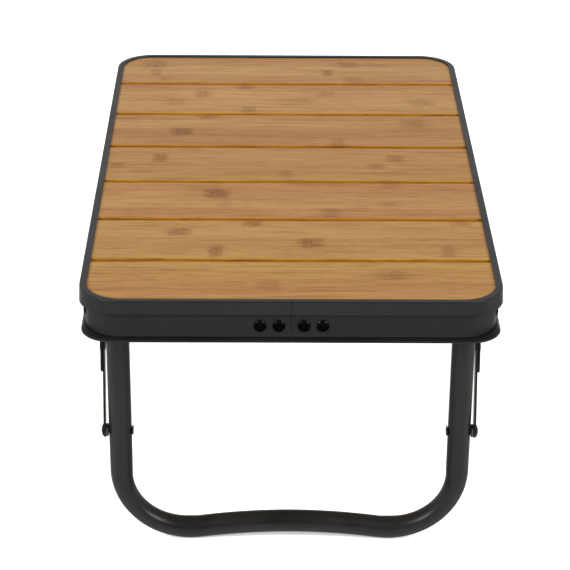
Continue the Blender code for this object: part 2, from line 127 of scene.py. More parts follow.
# Fasteners: shank radii, then (radius, height) of the domed heads and of the flat inner heads
HEAD_EASE = 0.00015
HEAD_RIM = 0.22  # upright edge of a domed head, as a share of its height
TAIL_EASE = 0.00035
SCREW_SHANK = 0.0019
SCREW_HEAD = (0.0050, 0.0026)
PIVOT_SHANK = 0.0030
PIVOT_HEAD = (0.0055, 0.0010)
PIVOT_TAIL = (0.0045, 0.0017)
PIVOT_SHOULDER = 0.0065
SHOULDER_EASE = 0.0002
STUD_SHANK = 0.0024
STUD_HEAD = (0.0045, 0.0010)
STUD_SHOULDER = 0.0050
STAY_SHANK = 0.0025
STAY_HEAD = (0.0052, 0.0018)
STAY_TAIL = (0.0041, 0.0011)
GUIDE_SHANK = 0.0023
GUIDE_HEAD = (0.0040, 0.0004)
GUIDE_TAIL = (0.0036, 0.0004)
ANCHOR_SHANK = 0.0024
ANCHOR_HEAD = (0.0042, 0.0012)

# Hinge plates and the rivets that hold them
PLATE_THICKNESS = 0.0018
PLATE_HEIGHT = 0.0180
PLATE_AHEAD = 0.0060
PLATE_BEHIND = 0.0400
PLATE_JOGGLE = 0.0010
JOGGLE_START = 0.0040
JOGGLE_LENGTH = 0.0020
JOGGLE_STEPS = 4
PLATE_RIVET_Y = PIVOT_Y - 0.0160
PLATE_RIVET_SPREAD = 0.0053
PLATE_RIVET_SHANK = 0.0019
PLATE_RIVET_HEAD = (0.0036, 0.0009)
PLATE_RIVET_TAIL = (0.0032, 0.0010)
PLATE_ROUNDS = (0.0030, 0.0060)

# Distances from the table's centre plane
STILE_INNER = STILE_X - TUBE_RADIUS - GAP
SPACER_X = STILE_X + TUBE_RADIUS + GAP
LOWER_BAR_X = SPACER_X + SPACER_THICKNESS + GAP
UPPER_BAR_X = LOWER_BAR_X + BAR_THICKNESS + GAP
BAR_OUTER_X = UPPER_BAR_X + BAR_THICKNESS + GAP
WEB_OUTER_X = WIDTH / 2 - WEB_INSET + GAP
PLATE_X = WIDTH / 2 - WEB_INSET - WALL - GAP - PLATE_THICKNESS
STUD_END_X = BAR_OUTER_X + ANCHOR_HEAD[1] + GAP

ENDS = {"front": -1, "rear": 1}
SIDES = {"left": -1, "right": 1}

# Camera: where it stands, its turns in radians to the right, downwards and about its own line,
# and its lens in millimetres
CAMERA_PLACE = (-0.02148, -1.76721, 0.99375)
CAMERA_YAW = 0.010799
CAMERA_PITCH = 0.461039
CAMERA_ROLL = 0.008246
CAMERA_LENS = 133.719

# Softboxes: degrees to each side of the front and above the floor, strength, and spread in degrees
SOFTBOX_SIDE = 52
SOFTBOX_RISE = 34
SOFTBOX_STRENGTH = 2.7
SOFTBOX_SPREAD = 14
FLOOR_HALF = 6.0

# Room: where it dims along Y and along Z, as (from, to, brightness before, brightness after)
ROOM = (("Y", (-0.65, -0.35, 0.12, 1.0)), ("Z", (0.75, 0.95, 1.0, 0.35)))


# ---------------------------------------------------------------- materials

class Graph:
    """Short ways to build the node tree of one Principled material."""

    def __init__(self, name):
        self.material = bpy.data.materials.new(name)
        self.material.use_nodes = True
        self.tree = self.material.node_tree
        self.shader = self.tree.nodes["Principled BSDF"]
        self.place = self.add("ShaderNodeTexCoord").outputs["Object"]

    def add(self, kind, inputs=(), **settings):
        """New node with its settings, and its inputs given as values or as other nodes' outputs."""
        made = self.tree.nodes.new(kind)
        for key, value in settings.items():
            setattr(made, key, value)
        for socket, value in dict(inputs).items():
            self.put(made.inputs[socket], value)
        return made

    def put(self, socket, value):
        if isinstance(value, bpy.types.NodeSocket):
            self.tree.links.new(value, socket)
        else:
            socket.default_value = value

    def set(self, **values):
        """Shader inputs by name, with _ for a space."""
        for key, value in values.items():
            self.put(self.shader.inputs[key.replace("_", " ")], value)

    def math(self, operation, first, second=0.0):
        return self.add("ShaderNodeMath", {0: first, 1: second}, operation=operation).outputs[0]

    def vector(self, operation, first, second=(0, 0, 0)):
        return self.add("ShaderNodeVectorMath", {0: first, 1: second}, operation=operation).outputs[0]

    def product(self, first, *others):
        for other in others:
            first = self.math("MULTIPLY", first, other)
        return first

    def scaled(self, factors, offset=(0, 0, 0)):
        """Place on the table, stretched by the factors and moved."""
        inputs = {"Vector": self.place, "Scale": factors, "Location": offset}
        return self.add("ShaderNodeMapping", inputs).outputs[0]

    def noise(self, vector, scale=1.0, detail=2.0, roughness=0.5, distortion=0.0):
        inputs = {"Vector": vector, "Scale": scale, "Detail": detail}
        inputs.update({"Roughness": roughness, "Distortion": distortion})
        return self.add("ShaderNodeTexNoise", inputs).outputs["Fac"]

    def span(self, value, low, high, to_low=0.0, to_high=1.0, smooth=True):
        """Value mapped from one range to another and held within it."""
        inputs = {0: value, 1: low, 2: high, 3: to_low, 4: to_high}
        kind = "SMOOTHSTEP" if smooth else "LINEAR"
        return self.add("ShaderNodeMapRange", inputs, interpolation_type=kind).outputs[0]

    def axis(self, letter):
        """One coordinate of the place on the table."""
        return self.add("ShaderNodeSeparateXYZ", {0: self.place}).outputs[letter]

    def turned_to(self, letter):
        """One component of the surface's normal with the table at rest."""
        normal = self.add("ShaderNodeTexCoord").outputs["Normal"]
        return self.add("ShaderNodeSeparateXYZ", {0: normal}).outputs[letter]

    def outline_fade(self, start, end, least, upward=0.0):
        """Share of its sheen that a coat keeps as it turns away from the view, down to the least.
        Faces that look up keep the share given as upward."""
        facing = self.add("ShaderNodeLayerWeight", {"Blend": 0.5}).outputs["Facing"]
        kept = self.product(self.span(self.turned_to("Z"), 0.45, 0.75), upward)
        return self.math("MAXIMUM", self.span(facing, start, end, 1.0, least), kept)

    def mix(self, amount, first, second, blend="MIX"):
        made = self.add("ShaderNodeMix", data_type="RGBA", blend_type=blend)
        self.put(made.inputs[0], amount)
        self.put(made.inputs[6], first)
        self.put(made.inputs[7], second)
        return made.outputs[2]

    def ramp(self, value, stops):
        """Colour along a ramp of (position, colour) stops."""
        made = self.add("ShaderNodeValToRGB", {"Fac": value})
        points = made.color_ramp.elements
        while len(points) < len(stops):
            points.new(0.5)
        for point, (place, colour) in zip(points, stops):
            point.position = place
            point.color = colour
        return made.outputs["Color"]

    def bump(self, height, distance, strength):
        inputs = {"Height": height, "Distance": distance, "Strength": strength}
        return self.add("ShaderNodeBump", inputs).outputs["Normal"]


def grey(value, warmth=0.0):
    """Grey of a linear value, a little redder and less blue with warmth."""
    return (value * (1 + warmth), value, value * (1 - warmth), 1.0)


def frame_painted_light_and_shade(g):
    """Painted light and shade on the frame's coat at each height: painted shade on the web under the
    band, a painted shadow line at the band's lower edge, a painted highlight on the web's foot and the
    flange, the darkest painted shade on the flange's slope, and a painted highlight on the lip."""
    height = g.axis("Z")
    band = HEIGHT - BAND_DEPTH
    edge = HEIGHT - FRAME_DEPTH + FLANGE_EDGE
    slope = edge + FLANGE_SLOPE[1]
    web = g.span(height, band - 0.0003, band + 0.0003, 0.84, 1.0)
    foot = g.span(height, slope + 0.0014, slope + 0.0026, 1.22, 1.0)
    line = g.span(g.math("ABSOLUTE", g.math("SUBTRACT", height, band)), 0.0004, 0.0011, 0.5, 1.0)
    above = g.span(height, edge + 0.0004, edge + 0.0009)
    below = g.span(height, slope, slope + 0.0006, 1.0, 0.0)
    dark = g.math("SUBTRACT", 1.0, g.product(above, below, 0.52))
    lip = g.span(height, HEIGHT - LIP_ROUND, HEIGHT - 0.0004, 1.0, 1.32)
    return g.product(web, foot, line, dark, lip)


def leg_painted_shade(g):
    """Painted shade on a leg's coat: darker and with less sheen on the sides that face the other stile,
    except where they look up.
    """
    outward = g.product(g.turned_to("X"), g.math("SIGN", g.axis("X")))
    inner = g.span(outward, -0.9, -0.3, 1.0, 0.0)
    upright = g.span(g.turned_to("Z"), 0.1, 0.4, 1.0, 0.0)
    return g.math("SUBTRACT", 1.0, g.product(inner, upright, 0.45))


def coat_material(name, dark, light, roughness, grain, specular, shading, upward):
    """Powder coat: fine orange peel, faint cloudy colour and dull patches. Its painted shade and light,
    and the share of the sheen that its upward faces keep, fit it to the frame or to a leg."""
    g = Graph(name)
    shade = shading(g)
    cloud = g.noise(g.place, scale=22.0, detail=4.0)
    peel = g.noise(g.place, scale=grain, detail=2.0)
    speck = g.noise(g.place, scale=grain * 0.45, detail=1.0)
    colour = g.mix(g.span(cloud, 0.3, 0.7), dark, light)
    colour = g.mix(g.span(speck, 0.62, 0.72, 0.0, 0.35), colour, grey(light[1] * 2.4))
    # Painted shade and light: the shading darkens the colour and scales the sheen
    colour = g.mix(shade, grey(0.0), colour)
    sheen = g.product(shade, specular, g.outline_fade(0.25, 0.60, 0.30, upward))
    dull = g.span(cloud, 0.3, 0.7, roughness - 0.04, roughness + 0.05)
    dull = g.math("ADD", dull, g.span(peel, 0.3, 0.7, -0.04, 0.04))
    g.set(Base_Color=colour, Roughness=dull, Metallic=0.0, Normal=g.bump(peel, 0.00012, 0.55))
    g.set(**{"Specular IOR Level": sheen})
    return g.material


def hardware_material():
    """Blackened steel of the stays, plates and rivets, rubbed and scratched a little."""
    g = Graph("blackened_steel")
    cloud = g.noise(g.place, scale=60.0, detail=4.0)
    grit = g.noise(g.place, scale=1400.0, detail=2.0)
    rub = g.noise(g.scaled((900.0, 60.0, 60.0)), detail=3.0)
    colour = g.mix(g.span(cloud, 0.35, 0.7), grey(0.0035), grey(0.0070))
    colour = g.mix(g.span(rub, 0.64, 0.74, 0.0, 0.5), colour, grey(0.03, 0.05))
    dull = g.span(cloud, 0.3, 0.7, 0.38, 0.50)
    dull = g.math("ADD", dull, g.span(rub, 0.6, 0.75, 0.0, 0.12))
    g.set(Base_Color=colour, Roughness=dull, Metallic=0.0, Normal=g.bump(grit, 0.00004, 0.4))
    g.set(**{"Specular IOR Level": g.product(g.outline_fade(0.25, 0.60, 0.30), 0.14)})
    return g.material


def screw_material():
    """Black oxide of the splice screws: smooth, glossy and almost colourless, with its sheen painted out
    on the lower part of each head, a painted shade, so that only the upper part shines.
    """
    g = Graph("black_oxide")
    cloud = g.noise(g.place, scale=300.0, detail=3.0)
    grit = g.noise(g.place, scale=1800.0, detail=2.0)
    colour = g.mix(g.span(cloud, 0.35, 0.7), grey(0.0008), grey(0.0018))
    dull = g.span(cloud, 0.3, 0.7, 0.08, 0.15)
    g.set(Base_Color=colour, Roughness=dull, Normal=g.bump(grit, 0.00002, 0.3))
    # Painted shade: no sheen where a head turns down, only on its upper part
    sheen = g.product(g.outline_fade(0.4, 0.8, 0.3), g.span(g.turned_to("Z"), 0.20, 0.45, 0.0, 0.34))
    g.set(**{"Specular IOR Level": sheen})
    return g.material


def plastic_material():
    """Black nylon of the spacers and tube plugs, with a fine moulded texture."""
    g = Graph("black_nylon")
    cloud = g.noise(g.place, scale=90.0, detail=3.0)
    grit = g.noise(g.place, scale=2200.0, detail=2.0)
    colour = g.mix(g.span(cloud, 0.3, 0.7), grey(0.008), grey(0.014))
    dull = g.span(cloud, 0.3, 0.7, 0.45, 0.6)
    g.set(Base_Color=colour, Roughness=dull, Normal=g.bump(grit, 0.00006, 0.6))
    return g.material


# Bamboo's base colour, and the tones of its strips and the cast of each slat as factors of it.
# The casts are partly each slat's own tone and partly a painted reflection of the lacquer's pale
# sheen, which makes the rear slats bluer.
BAMBOO = (0.292, 0.150, 0.0377)
TONES = {
    "pale": (1.06, 1.12, 1.24),
    "light": (1.02, 1.06, 1.12),
    "medium": (0.98, 0.97, 0.98),
    "pink": (0.96, 0.91, 0.98),
    "brown": (0.88, 0.84, 0.90),
}
SLAT_CASTS_AND_SHEEN = {
    1: (1.04, 1.07, 1.06),
    2: (1.02, 1.04, 1.09),
    3: (1.01, 1.01, 1.09),
    4: (0.98, 0.97, 1.06),
    5: (0.98, 1.00, 1.06),
    6: (1.00, 1.02, 1.14),
    7: (1.00, 1.05, 1.22),
}

# Strips of each slat from its front edge on, as (width in mm, tone); the last one takes the rest
STRIPS = {
    1: ((18, "medium"), (20, "pink"), (20, "medium"), (0, "light")),
    2: ((12, "light"), (29, "medium"), (18, "pale"), (0, "light")),
    3: ((21, "pink"), (21, "pale"), (15, "medium"), (0, "pink")),
    4: ((14, "light"), (28, "medium"), (20, "light"), (0, "medium")),
    5: ((16, "pink"), (26, "brown"), (21, "pale"), (0, "pink")),
    6: ((17, "light"), (22, "pale"), (20, "pale"), (0, "pink")),
    7: ((23, "pink"), (24, "pale"), (0, "pink")),
}

# Knots of each slat as (x, y, length, width, strength), lengths in metres
KNOTS = {
    1: ((0.082, -0.228, 0.024, 0.020, 0.42), (-0.018, -0.248, 0.016, 0.020, 0.45),
        (0.062, -0.207, 0.018, 0.016, 0.25)),
    2: ((-0.031, -0.128, 0.015, 0.014, 0.90), (0.145, -0.128, 0.015, 0.014, 0.60),
        (-0.094, -0.146, 0.016, 0.016, 0.90), (0.017, -0.167, 0.016, 0.019, 0.95),
        (-0.062, -0.184, 0.010, 0.022, 0.80), (0.131, -0.184, 0.010, 0.022, 0.60)),
    3: ((-0.063, -0.067, 0.018, 0.018, 1.10), (-0.057, -0.087, 0.009, 0.020, 0.35),
        (0.091, -0.048, 0.015, 0.016, 0.40), (0.086, -0.090, 0.015, 0.020, 0.30),
        (0.035, -0.107, 0.014, 0.020, 0.50)),
    4: ((-0.117, 0.013, 0.011, 0.020, 0.80), (-0.155, -0.005, 0.011, 0.013, 0.55),
        (0.097, 0.013, 0.014, 0.018, 0.70), (0.078, -0.005, 0.012, 0.013, 0.50),
        (-0.003, -0.023, 0.013, 0.018, 0.40), (-0.090, 0.033, 0.016, 0.010, 0.25)),
    5: ((-0.076, 0.113, 0.016, 0.012, 0.55), (0.120, 0.098, 0.020, 0.024, 0.50),
        (-0.099, 0.076, 0.016, 0.018, 0.90), (0.046, 0.050, 0.010, 0.020, 0.50)),
    6: ((-0.041, 0.192, 0.015, 0.014, 0.65), (-0.082, 0.173, 0.014, 0.019, 0.55),
        (0.039, 0.174, 0.015, 0.018, 0.40), (-0.107, 0.152, 0.016, 0.020, 0.45),
        (0.007, 0.153, 0.026, 0.022, 0.35), (0.130, 0.152, 0.020, 0.018, 0.45),
        (-0.037, 0.133, 0.011, 0.016, 0.65)),
    7: ((-0.133, 0.255, 0.020, 0.024, 0.60), (-0.131, 0.232, 0.009, 0.020, 0.55),
        (0.041, 0.233, 0.009, 0.018, 0.85), (0.062, 0.255, 0.016, 0.020, 0.50),
        (-0.120, 0.214, 0.010, 0.012, 0.40), (0.067, 0.213, 0.015, 0.020, 0.50)),
}

# What a knot does to the wood's colour, and how far its outline strays along X and Y
KNOT_STAIN = (0.62, 0.48, 0.45)
KNOT_STRAY = (0.010, 0.004, 0.0)

STRIP_BLEND = 0.0010
STRIP_WANDER = 0.0006


def bamboo_colour(number, tone):
    """Colour of a strip in a slat, before fibres and knots."""
    parts = zip(BAMBOO, SLAT_CASTS_AND_SHEEN[number], TONES[tone])
    return tuple(base * cast * share for base, cast, share in parts) + (1.0,)


def strip_ramp(g, number, low, high):
    """Colour across a slat: its strips, each with a soft boundary to the next."""
    wander = g.noise(g.scaled((9.0, 120.0, 1.0)), detail=2.0)
    stray = g.span(wander, 0.2, 0.8, -STRIP_WANDER, STRIP_WANDER)
    place = g.math("ADD", g.axis("Y"), stray)
    share = g.span(place, low, high, smooth=False)
    stops = []
    start = 0.0
    soft = STRIP_BLEND / (high - low)
    for width, tone in STRIPS[number]:
        stops.append((start + soft if stops else 0.0, bamboo_colour(number, tone)))
        start += width * 0.001 / (high - low)
        stops.append((start - soft if width else 1.0, bamboo_colour(number, tone)))
    return g.ramp(share, stops)


def knot_mask(g, knots):
    """Soft smudges at the bamboo's nodes, each held within its strip, the strongest one winning."""
    inputs = {"Vector": g.scaled((90.0, 160.0, 1.0)), "Scale": 1.0, "Detail": 3.0}
    warp = g.add("ShaderNodeTexNoise", inputs).outputs["Color"]
    shift = g.vector("MULTIPLY", g.vector("SUBTRACT", warp, (0.5, 0.5, 0.5)), KNOT_STRAY)
    bent = g.vector("ADD", g.place, shift)
    total = None
    for x, y, length, width, strength in knots:
        off = g.vector("ABSOLUTE", g.vector("SUBTRACT", bent, (x, y, 0.0)))
        apart = g.add("ShaderNodeSeparateXYZ", {0: off})
        along = g.span(apart.outputs["X"], 0.20 * length, 0.92 * length, strength, 0.0)
        beside = g.span(apart.outputs["Y"], 0.30 * width, 0.62 * width, 1.0, 0.0)
        mask = g.product(along, beside)
        total = mask if total is None else g.math("MAXIMUM", total, mask)
    return total


def tinted(g, amount, colour, factors):
    """The colour multiplied by factors, as far as the amount says."""
    return g.mix(amount, colour, g.mix(1.0, colour, tuple(factors) + (1.0,), "MULTIPLY"))


def bamboo_material(number, low, high, top):
    """Lacquered carbonised bamboo: glued strips, fibres along X, nodes, amber groove edges, and a
    painted shadow line low on each chamfer.
    """
    g = Graph(f"bamboo_{number}")
    seed = (0.37 * number, 0.11 * number, 0.0)
    fibre = g.noise(g.scaled((26.0, 1150.0, 40.0), seed), detail=3.0, roughness=0.6)
    streak = g.noise(g.scaled((11.0, 360.0, 20.0), seed), detail=3.0, roughness=0.6)
    fleck = g.noise(g.scaled((70.0, 1000.0, 20.0), seed), detail=2.0, roughness=0.5)
    broad = g.noise(g.scaled((3.5, 95.0, 10.0), seed), detail=2.0)
    cloud = g.noise(g.scaled((13.0, 40.0, 1.0), seed), detail=3.0)
    colour = strip_ramp(g, number, low, high)
    colour = tinted(g, g.span(cloud, 0.30, 0.72), colour, (0.94, 0.91, 0.93))
    colour = tinted(g, g.span(broad, 0.52, 0.70), colour, (0.92, 0.88, 0.86))
    colour = tinted(g, g.span(streak, 0.52, 0.66), colour, (0.81, 0.75, 0.71))
    colour = tinted(g, g.span(streak, 0.30, 0.46, 1.0, 0.0), colour, (1.07, 1.10, 1.16))
    colour = tinted(g, g.span(fibre, 0.50, 0.68), colour, (0.80, 0.73, 0.66))
    colour = tinted(g, g.span(fibre, 0.30, 0.48, 1.0, 0.0), colour, (1.08, 1.10, 1.14))
    colour = tinted(g, g.span(fleck, 0.56, 0.66), colour, (0.82, 0.75, 0.68))
    knots = knot_mask(g, KNOTS[number])
    mottle = g.noise(g.scaled((330.0, 420.0, 1.0), seed), detail=3.0, roughness=0.65)
    curl = g.noise(g.scaled((420.0, 90.0, 1.0), seed), detail=2.0, distortion=1.2)
    ticks = g.span(g.math("ABSOLUTE", g.math("SUBTRACT", curl, 0.5)), 0.01, 0.07, 0.55, 0.0)
    deep = g.product(knots, g.math("ADD", g.span(mottle, 0.3, 0.65, 0.40, 0.95), ticks))
    colour = tinted(g, deep, colour, KNOT_STAIN)

    # Beside the groove in front, and then from the chamfer's top down: edge, foot and wall. The foot is
    # a painted shadow line low on the chamfer, where the groove's shade falls; the wall takes most of it
    # back.
    height = g.axis("Z")
    brink = g.span(g.axis("Y"), low + 0.0020, low + 0.0045, 1.0, 0.0)
    edge = g.span(height, top - 0.0001, top - 0.0005)
    foot = g.span(height, top - 0.0006, top - 0.0012)
    wall = g.span(height, top - 0.0014, top - 0.0019)
    patchy = g.noise(g.scaled((26.0, 1.0, 1.0), (0.0, 3.7 * number, 0.0)), detail=3.0)
    if number > 1:
        colour = tinted(g, brink, colour, (1.04, 1.01, 0.58))
    colour = tinted(g, edge, colour, (0.98, 0.93, 0.80))
    colour = tinted(g, g.product(edge, g.span(patchy, 0.46, 0.72)), colour, (0.80, 0.70, 0.60))
    colour = tinted(g, foot, colour, (0.62, 0.51, 0.33))
    colour = tinted(g, wall, colour, (1.55, 1.80, 2.00))

    dull = g.span(fibre, 0.3, 0.7, 0.36, 0.46)
    dull = g.math("ADD", dull, g.product(deep, 0.08))
    relief = g.math("ADD", fibre, g.product(deep, -0.6))
    g.set(Base_Color=colour, Roughness=dull, Normal=g.bump(relief, 0.00006, 0.6))
    # Less sheen on the foot, under its painted shadow
    g.set(**{"Specular IOR Level": g.span(foot, 0.0, 1.0, 0.11, 0.03)})
    return g.material


def board_material():
    """Unlacquered underside of the backing board: plain veneer along X."""
    g = Graph("plain_veneer")
    fibre = g.noise(g.scaled((10.0, 700.0, 40.0)), detail=4.0, roughness=0.6)
    streak = g.noise(g.scaled((3.0, 60.0, 20.0)), detail=4.0, roughness=0.6)
    pores = g.noise(g.scaled((90.0, 1700.0, 40.0)), detail=2.0)
    dark, middle, light = (0.30, 0.175, 0.075, 1), (0.36, 0.22, 0.10, 1), (0.42, 0.27, 0.13, 1)
    colour = g.ramp(streak, [(0.25, dark), (0.5, middle), (0.78, light)])
    colour = tinted(g, g.span(fibre, 0.3, 0.7, 0.0, 0.7), colour, (0.82, 0.76, 0.70))
    colour = g.mix(g.span(pores, 0.62, 0.72, 0.0, 0.6), colour, (0.14, 0.075, 0.03, 1))
    dull = g.span(fibre, 0.3, 0.7, 0.58, 0.74)
    g.set(Base_Color=colour, Roughness=dull, Normal=g.bump(fibre, 0.00008, 0.6))
    g.set(**{"Specular IOR Level": 0.35})
    return g.material


FRAME_COAT = coat_material("frame_powder_coat", grey(0.0055), grey(0.0078), roughness=0.42,
                           grain=1500.0, specular=0.16, shading=frame_painted_light_and_shade, upward=1.0)
LEG_COAT = coat_material("leg_powder_coat", grey(0.0060), grey(0.0085), roughness=0.34,
                         grain=1700.0, specular=0.17, shading=leg_painted_shade, upward=0.5)
HARDWARE = hardware_material()
SCREWS = screw_material()
NYLON = plastic_material()
VENEER = board_material()


# ---------------------------------------------------------------- meshes

def finish_piece(name, bm, material, body, nodes=(), place=None):
    """Piece from a finished bmesh: outward faces, smooth with sharp creases, riding on its body."""
    bmesh.ops.recalc_face_normals(bm, faces=bm.faces)
    if bm.calc_volume(signed=True) < 0:
        bmesh.ops.reverse_faces(bm, faces=bm.faces)
    if place is not None:
        bmesh.ops.transform(bm, matrix=place, verts=bm.verts)
    mesh = bpy.data.meshes.new(name)
    bm.to_mesh(mesh)
    bm.free()
    mesh.shade_smooth()
    mesh.set_sharp_from_angle(angle=math.radians(CREASE))
    mesh.materials.append(material)
    piece = bpy.data.objects.new(name, mesh)
    bpy.context.scene.collection.objects.link(piece)
    even = piece.modifiers.new("even_shading", "WEIGHTED_NORMAL")
    even.keep_sharp = True
    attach(piece, body)
    if nodes:
        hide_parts(*nodes)


def arc(centre, radius, start, end, steps):
    """Points of an arc in a plane, both ends included; angles in degrees."""
    points = []
    for step in range(steps + 1):
        angle = math.radians(start + (end - start) * step / steps)
        points.append((centre[0] + radius * math.cos(angle), centre[1] + radius * math.sin(angle)))
    return points


def rounded(corners, steps=4):
    """Outline with filleted corners, from (x, y, fillet radius) corners."""
    made = []
    for index, (x, y, radius) in enumerate(corners):
        here = Vector((x, y))
        before = (Vector(corners[index - 1][:2]) - here).normalized()
        after = (Vector(corners[(index + 1) % len(corners)][:2]) - here).normalized()
        half = before.angle(after) / 2
        middle = here + (before + after).normalized() * (radius / math.sin(half))
        first = here + before * (radius / math.tan(half)) - middle
        last = here + after * (radius / math.tan(half)) - middle
        turn = first.angle_signed(last)
        for step in range(steps + 1):
            spun = first.copy()
            spun.rotate(Matrix.Rotation(-turn * step / steps, 2))
            made.append(tuple(middle + spun))
    return made


def bridge(bm, first, second):
    """Faces between two rings of vertices. Either ring may be a single pole."""
    count = max(len(first), len(second))
    for here in range(count):
        ahead = (here + 1) % count
        corners = [
            first[here % len(first)],
            first[ahead % len(first)],
            second[ahead % len(second)],
            second[here % len(second)],
        ]
        bm.faces.new(list(dict.fromkeys(corners)))


def skin(bm, rings, closed=False):
    """Skin over a row of rings: closed into a loop, or with a cap on each end."""
    for first, second in zip(rings, rings[1:]):
        bridge(bm, first, second)
    if closed:
        bridge(bm, rings[-1], rings[0])
        return
    for ring in (rings[0], rings[-1]):
        if len(ring) > 1:
            bm.faces.new(ring)


def circle(centre, radius, sides=32):
    """Points of a full circle."""
    return arc(centre, radius, 0, 360, sides)[:-1]


def turned(profile, sides=40, closed=False):
    """Solid turned about the X axis from (distance along it, radius) points."""
    bm = bmesh.new()
    rings = []
    for along, radius in profile:
        ring = circle((0, 0), radius, sides) if radius > 1e-7 else [(0, 0)]
        rings.append([bm.verts.new((along, y, z)) for y, z in ring])
    skin(bm, rings, closed=closed)
    return bm


def domed(base, head, rim, steps=7):
    """Profile of a domed head, from its crown to the edge of its underside."""
    radius, height = head
    low = base + rim * height
    rise = height * (1 - rim)
    ball = (radius ** 2 + rise ** 2) / (2 * rise)
    top = math.degrees(math.asin(radius / ball))
    cap = arc((low + rise - ball, 0), ball, 0, top, steps)
    return cap + [(base + HEAD_EASE, radius), (base, radius - HEAD_EASE)]


def flat_head(face, head, eased):
    """Profile of a flat inner head, from its underside to its centre."""
    radius, height = head
    end = face - height
    near = [(face, radius - 0.0001), (face - 0.0001, radius), (end + eased, radius)]
    return near + arc((end + eased, radius - eased), eased, 90, 180, 3)[1:] + [(end, 0.0)]


def plate(outline, holes, near, far):
    """Flat plate in the YZ plane between two distances along X, with eased edges."""
    bm = bmesh.new()
    for loop in [outline] + holes:
        verts = [bm.verts.new((near, y, z)) for y, z in loop]
        for start, end in zip(verts, verts[1:] + verts[:1]):
            bm.edges.new((start, end))
    bmesh.ops.triangle_fill(bm, use_beauty=True, edges=bm.edges, normal=(1, 0, 0))
    grown = bmesh.ops.extrude_face_region(bm, geom=bm.faces[:])
    moved = [item for item in grown["geom"] if isinstance(item, bmesh.types.BMVert)]
    bmesh.ops.translate(bm, verts=moved, vec=(far - near, 0, 0))
    bmesh.ops.recalc_face_normals(bm, faces=bm.faces)
    rims = [edge for edge in bm.edges if edge.calc_face_angle(0) > math.radians(80)
            and abs(edge.verts[0].co.x - edge.verts[1].co.x) < 1e-7]
    bmesh.ops.bevel(bm, geom=rims, offset=BAR_EASE, segments=2, profile=0.5, affect="EDGES",
                    clamp_overlap=True)
    return bm


def round_bar(low, high, radius, steps=16):
    """Outline of a bar or slot along the second axis, with round ends centred on low and high."""
    return arc((0, low), radius, 180, 360, steps) + arc((0, high), radius, 0, 180, steps)


# ---------------------------------------------------------------- tray

def frame_corners():
    """Corners of the extrusion's section as (inset, drop, fillet radius)."""
    inner = WEB_INSET + WALL
    shelf_top = BAND_DEPTH - SHELF_THICKNESS
    flange_top = FRAME_DEPTH - FLANGE_DEPTH
    return [
        (0.0, 0.0, LIP_ROUND),
        (LIP_WIDTH, 0.0, 0.0005),
        (LIP_WIDTH, LIP_THICKNESS, 0.0003),
        (WALL, LIP_THICKNESS, 0.0002),
        (WALL, shelf_top, 0.0003),
        (SHELF_REACH, shelf_top, 0.0004),
        (SHELF_REACH, BAND_DEPTH, 0.0004),
        (inner, BAND_DEPTH, 0.0005),
        (inner, FRAME_DEPTH, 0.0004),
        (FLANGE_INSET, FRAME_DEPTH, 0.0004),
        (FLANGE_INSET, FRAME_DEPTH - FLANGE_EDGE, 0.0005),
        (FLANGE_INSET + FLANGE_SLOPE[0], flange_top, 0.0005),
        (WEB_INSET, flange_top, 0.0003),
        (WEB_INSET, BAND_DEPTH, 0.0004),
        (0.0, BAND_DEPTH, 0.0010),
    ]


def shrunk(corners, amount):
    """Outline drawn in by an amount on all its sides."""
    made = []
    for index, (x, y, radius) in enumerate(corners):
        before = Vector((x, y)) - Vector(corners[index - 1][:2])
        after = Vector(corners[(index + 1) % len(corners)][:2]) - Vector((x, y))
        first, second = (Vector((-side.y, side.x)).normalized() for side in (before, after))
        shift = (first + second) * amount / (1 + first.dot(second))
        made.append((x + shift.x, y + shift.y, max(0.0001, radius - amount)))
    return made


def bend_radius(inset, drop):
    """Radius of the tray's corners. Band and flange stand a little fuller there than the web."""
    radius = CORNER_RADIUS - inset
    if inset >= WEB_INSET:
        return radius
    if drop > FRAME_DEPTH - FLANGE_DEPTH - GAP:
        return radius - FLANGE_FULLNESS * (WEB_INSET - inset) / (WEB_INSET - FLANGE_INSET)
    if inset < WALL:
        return radius - BAND_FULLNESS * (1 - inset / WALL) * max(0.0, drop - LIP_ROUND) / BAND_DEPTH
    return radius


def frame_stations(steps=28):
    """Headings in degrees along the right half from the front joint to the rear one, each with the
    end of the table that it belongs to, and for those at a joint, their X and how far they draw in."""
    turns = [90 * step / steps for step in range(steps + 1)]
    reach, depth = JOINT_BEVEL
    joint = [(JOINT_GAP, depth), (reach, 0.0)]
    made = [(-90, -1, x, drawn) for x, drawn in joint]
    made += [(turn - 90, -1, None, 0.0) for turn in turns] + [(turn, 1, None, 0.0) for turn in turns]
    return made + [(90, 1, x, drawn) for x, drawn in reversed(joint)]


def build_frame(side_name, side):
    """One half of the frame: the extrusion's section carried round two corners."""
    bm = bmesh.new()
    rings = []
    for heading, end, at_joint, drawn in frame_stations():
        out = (math.cos(math.radians(heading)), math.sin(math.radians(heading)))
        ring = []
        for inset, drop in rounded(shrunk(frame_corners(), drawn)):
            radius = bend_radius(inset, drop)
            x = WIDTH / 2 - inset - radius + radius * out[0]
            y = end * (LENGTH / 2 - inset - radius) + radius * out[1]
            x = x if at_joint is None else at_joint
            ring.append(bm.verts.new((side * x, y, HEIGHT - drop)))
        rings.append(ring)
    skin(bm, rings)
    node = f"frame_half_{side_name}"
    finish_piece(node + "_extrusion", bm, FRAME_COAT, "tray", [node])


def slat_outline(low, high, low_radius, high_radius):
    """Slat from above, with its corners rounded where it has a radius."""
    x = WIDTH / 2 - PANEL_INSET
    points = [(x, low), (x, high)]
    if low_radius > 0:
        points[:1] = arc((x - low_radius, low + low_radius), low_radius, -90, 0, 20)
    if high_radius > 0:
        points[-1:] = arc((x - high_radius, high - high_radius), high_radius, 0, 90, 20)
    return points + [(-px, py) for px, py in reversed(points)]


